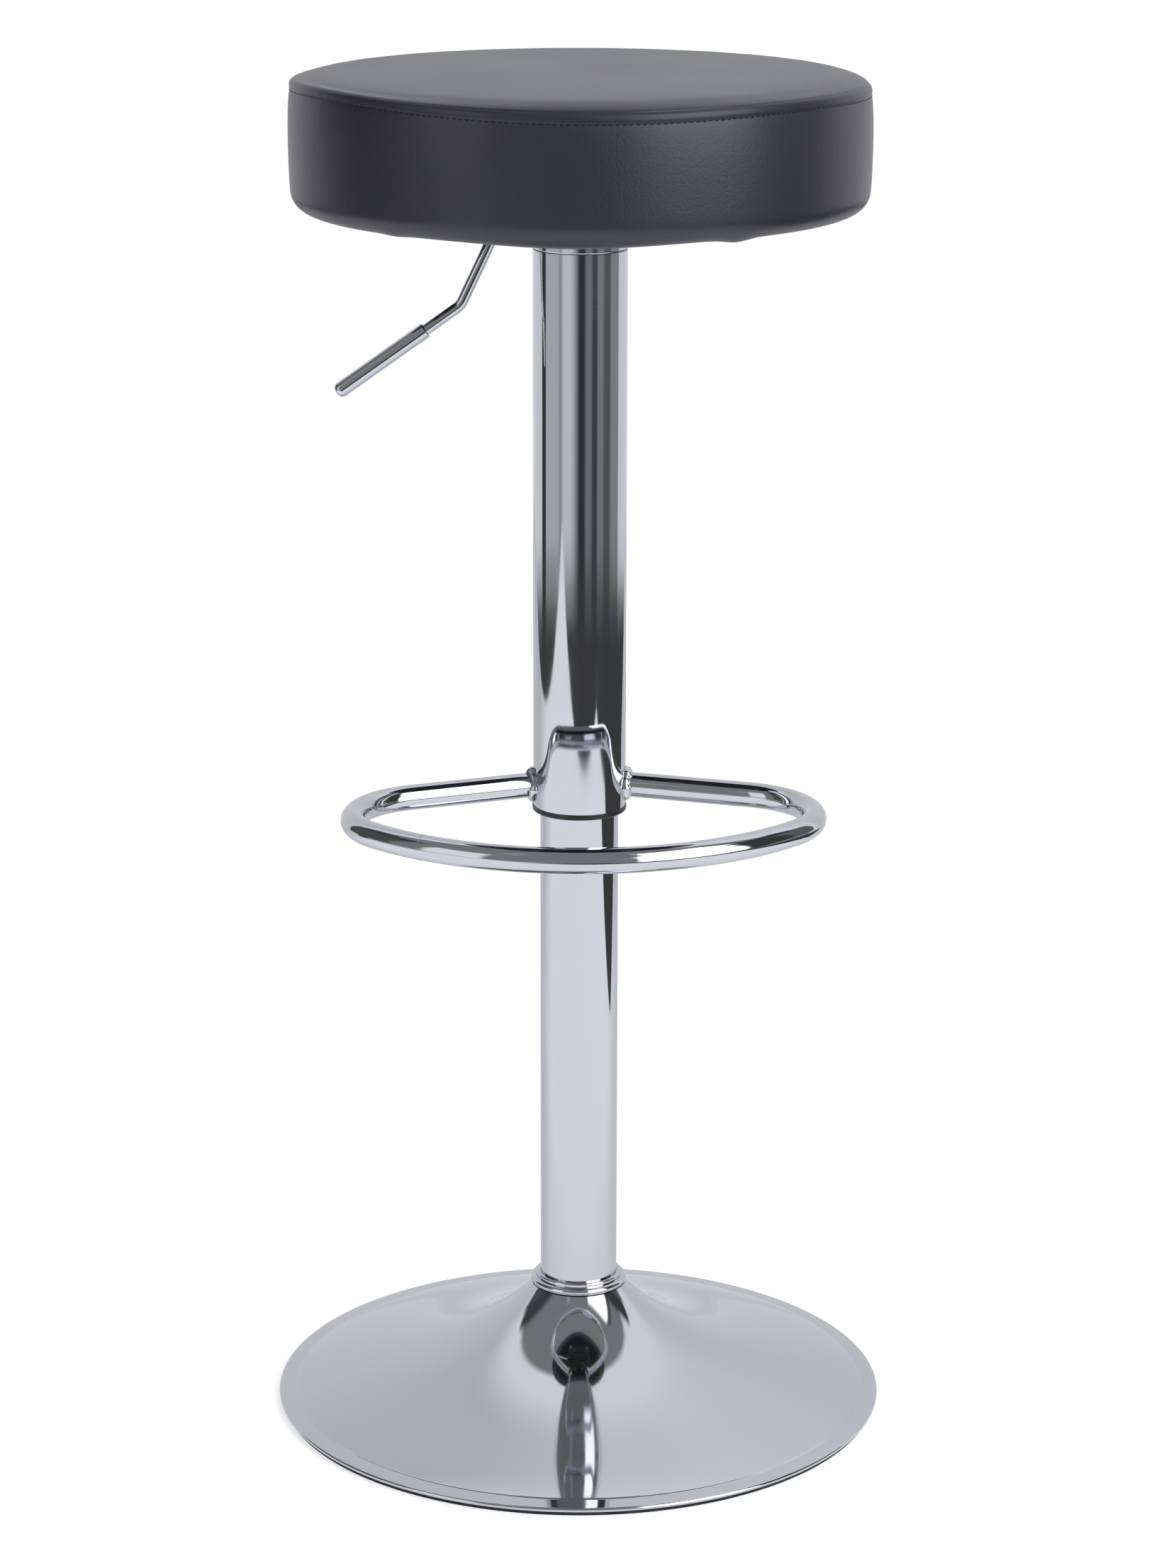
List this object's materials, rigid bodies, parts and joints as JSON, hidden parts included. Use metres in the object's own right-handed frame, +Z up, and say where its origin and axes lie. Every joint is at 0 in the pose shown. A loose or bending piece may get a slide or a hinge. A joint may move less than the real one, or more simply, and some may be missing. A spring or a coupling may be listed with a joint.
{
  "type": "bar stool",
  "caption": "Chromed gas-lift bar stool with a round padded swivel seat, side lift lever, bowed footrest and trumpet base.",
  "frame": {"origin": "centre of the base on the floor", "axes": "+Z up the column, -Y towards the footrest and the sitter's front, -X towards the lift lever"},
  "size_m": [0.396, 0.396, 0.868],
  "materials": {
    "chromed_steel": "polished",
    "black_rubber": "matte",
    "black_steel": "satin",
    "bright_steel": "satin",
    "black_acetal": "satin",
    "plywood": "matte",
    "seat_foam": "matte",
    "black_leather": "satin",
    "dust_cloth": "matte"
  },
  "bodies": {
    "base": {"floor_ring": "black_rubber", "base_shell": "chromed_steel", "ballast_plate": "black_steel", "foot_bolts": "bright_steel", "column_flange": "black_steel", "lower_column": "chromed_steel", "column_collar": "chromed_steel", "guide_bush": "black_acetal", "bearing_lower_race": "bright_steel", "bearing_balls": "bright_steel", "ball_cage": "black_acetal"},
    "spindle": {"piston_rod": "bright_steel", "piston": "bright_steel", "piston_ring": "black_rubber", "bearing_upper_race": "bright_steel", "bump_stop": "black_rubber", "rod_washer": "bright_steel", "rod_clip": "bright_steel"},
    "carriage": {"gas_cylinder": "black_steel", "cylinder_gland": "bright_steel", "rod_seal": "black_rubber", "upper_column": "chromed_steel", "column_glide": "black_acetal", "column_cap": "chromed_steel", "footrest": "chromed_steel", "seat_socket": "bright_steel", "seat_plate": "black_steel", "lever_bracket": "black_steel", "lever_pin": "bright_steel", "seat_board": "plywood", "tee_nuts": "bright_steel", "seat_bolts": "bright_steel", "seat_foam": "seat_foam", "seat_cover_top": "black_leather", "seat_cover_band": "black_leather", "dust_cover": "dust_cloth"},
    "lever": {"lever_rod": "chromed_steel", "lever_grip": "chromed_steel"},
    "valve": {"valve_button": "black_acetal"}
  },
  "joints": [
    {"name": "seat_swivel", "type": "hinge", "parent": "base", "child": "spindle", "pos_m": [0, 0, 0.025], "axis": [0, 0, 1], "continuous": true},
    {"name": "seat_height", "type": "slide", "parent": "spindle", "child": "carriage", "axis": [0, 0, 1], "range_m": [-0.21, 0]},
    {"name": "lever_lift", "type": "hinge", "parent": "carriage", "child": "lever", "pos_m": [-0.03, 0, 0.7786], "axis": [0, 1, 0], "range_deg": [0, 6], "stiffness_Nm_per_rad": 5, "springref_deg": -5.73},
    {"name": "valve_press", "type": "slide", "parent": "carriage", "child": "valve", "axis": [0, 0, -1], "range_m": [0, 0.0035]}
  ],
  "couplings": [
    {"joint": "valve_press", "follows": "lever_lift", "m_per_rad": 0.03}
  ]
}
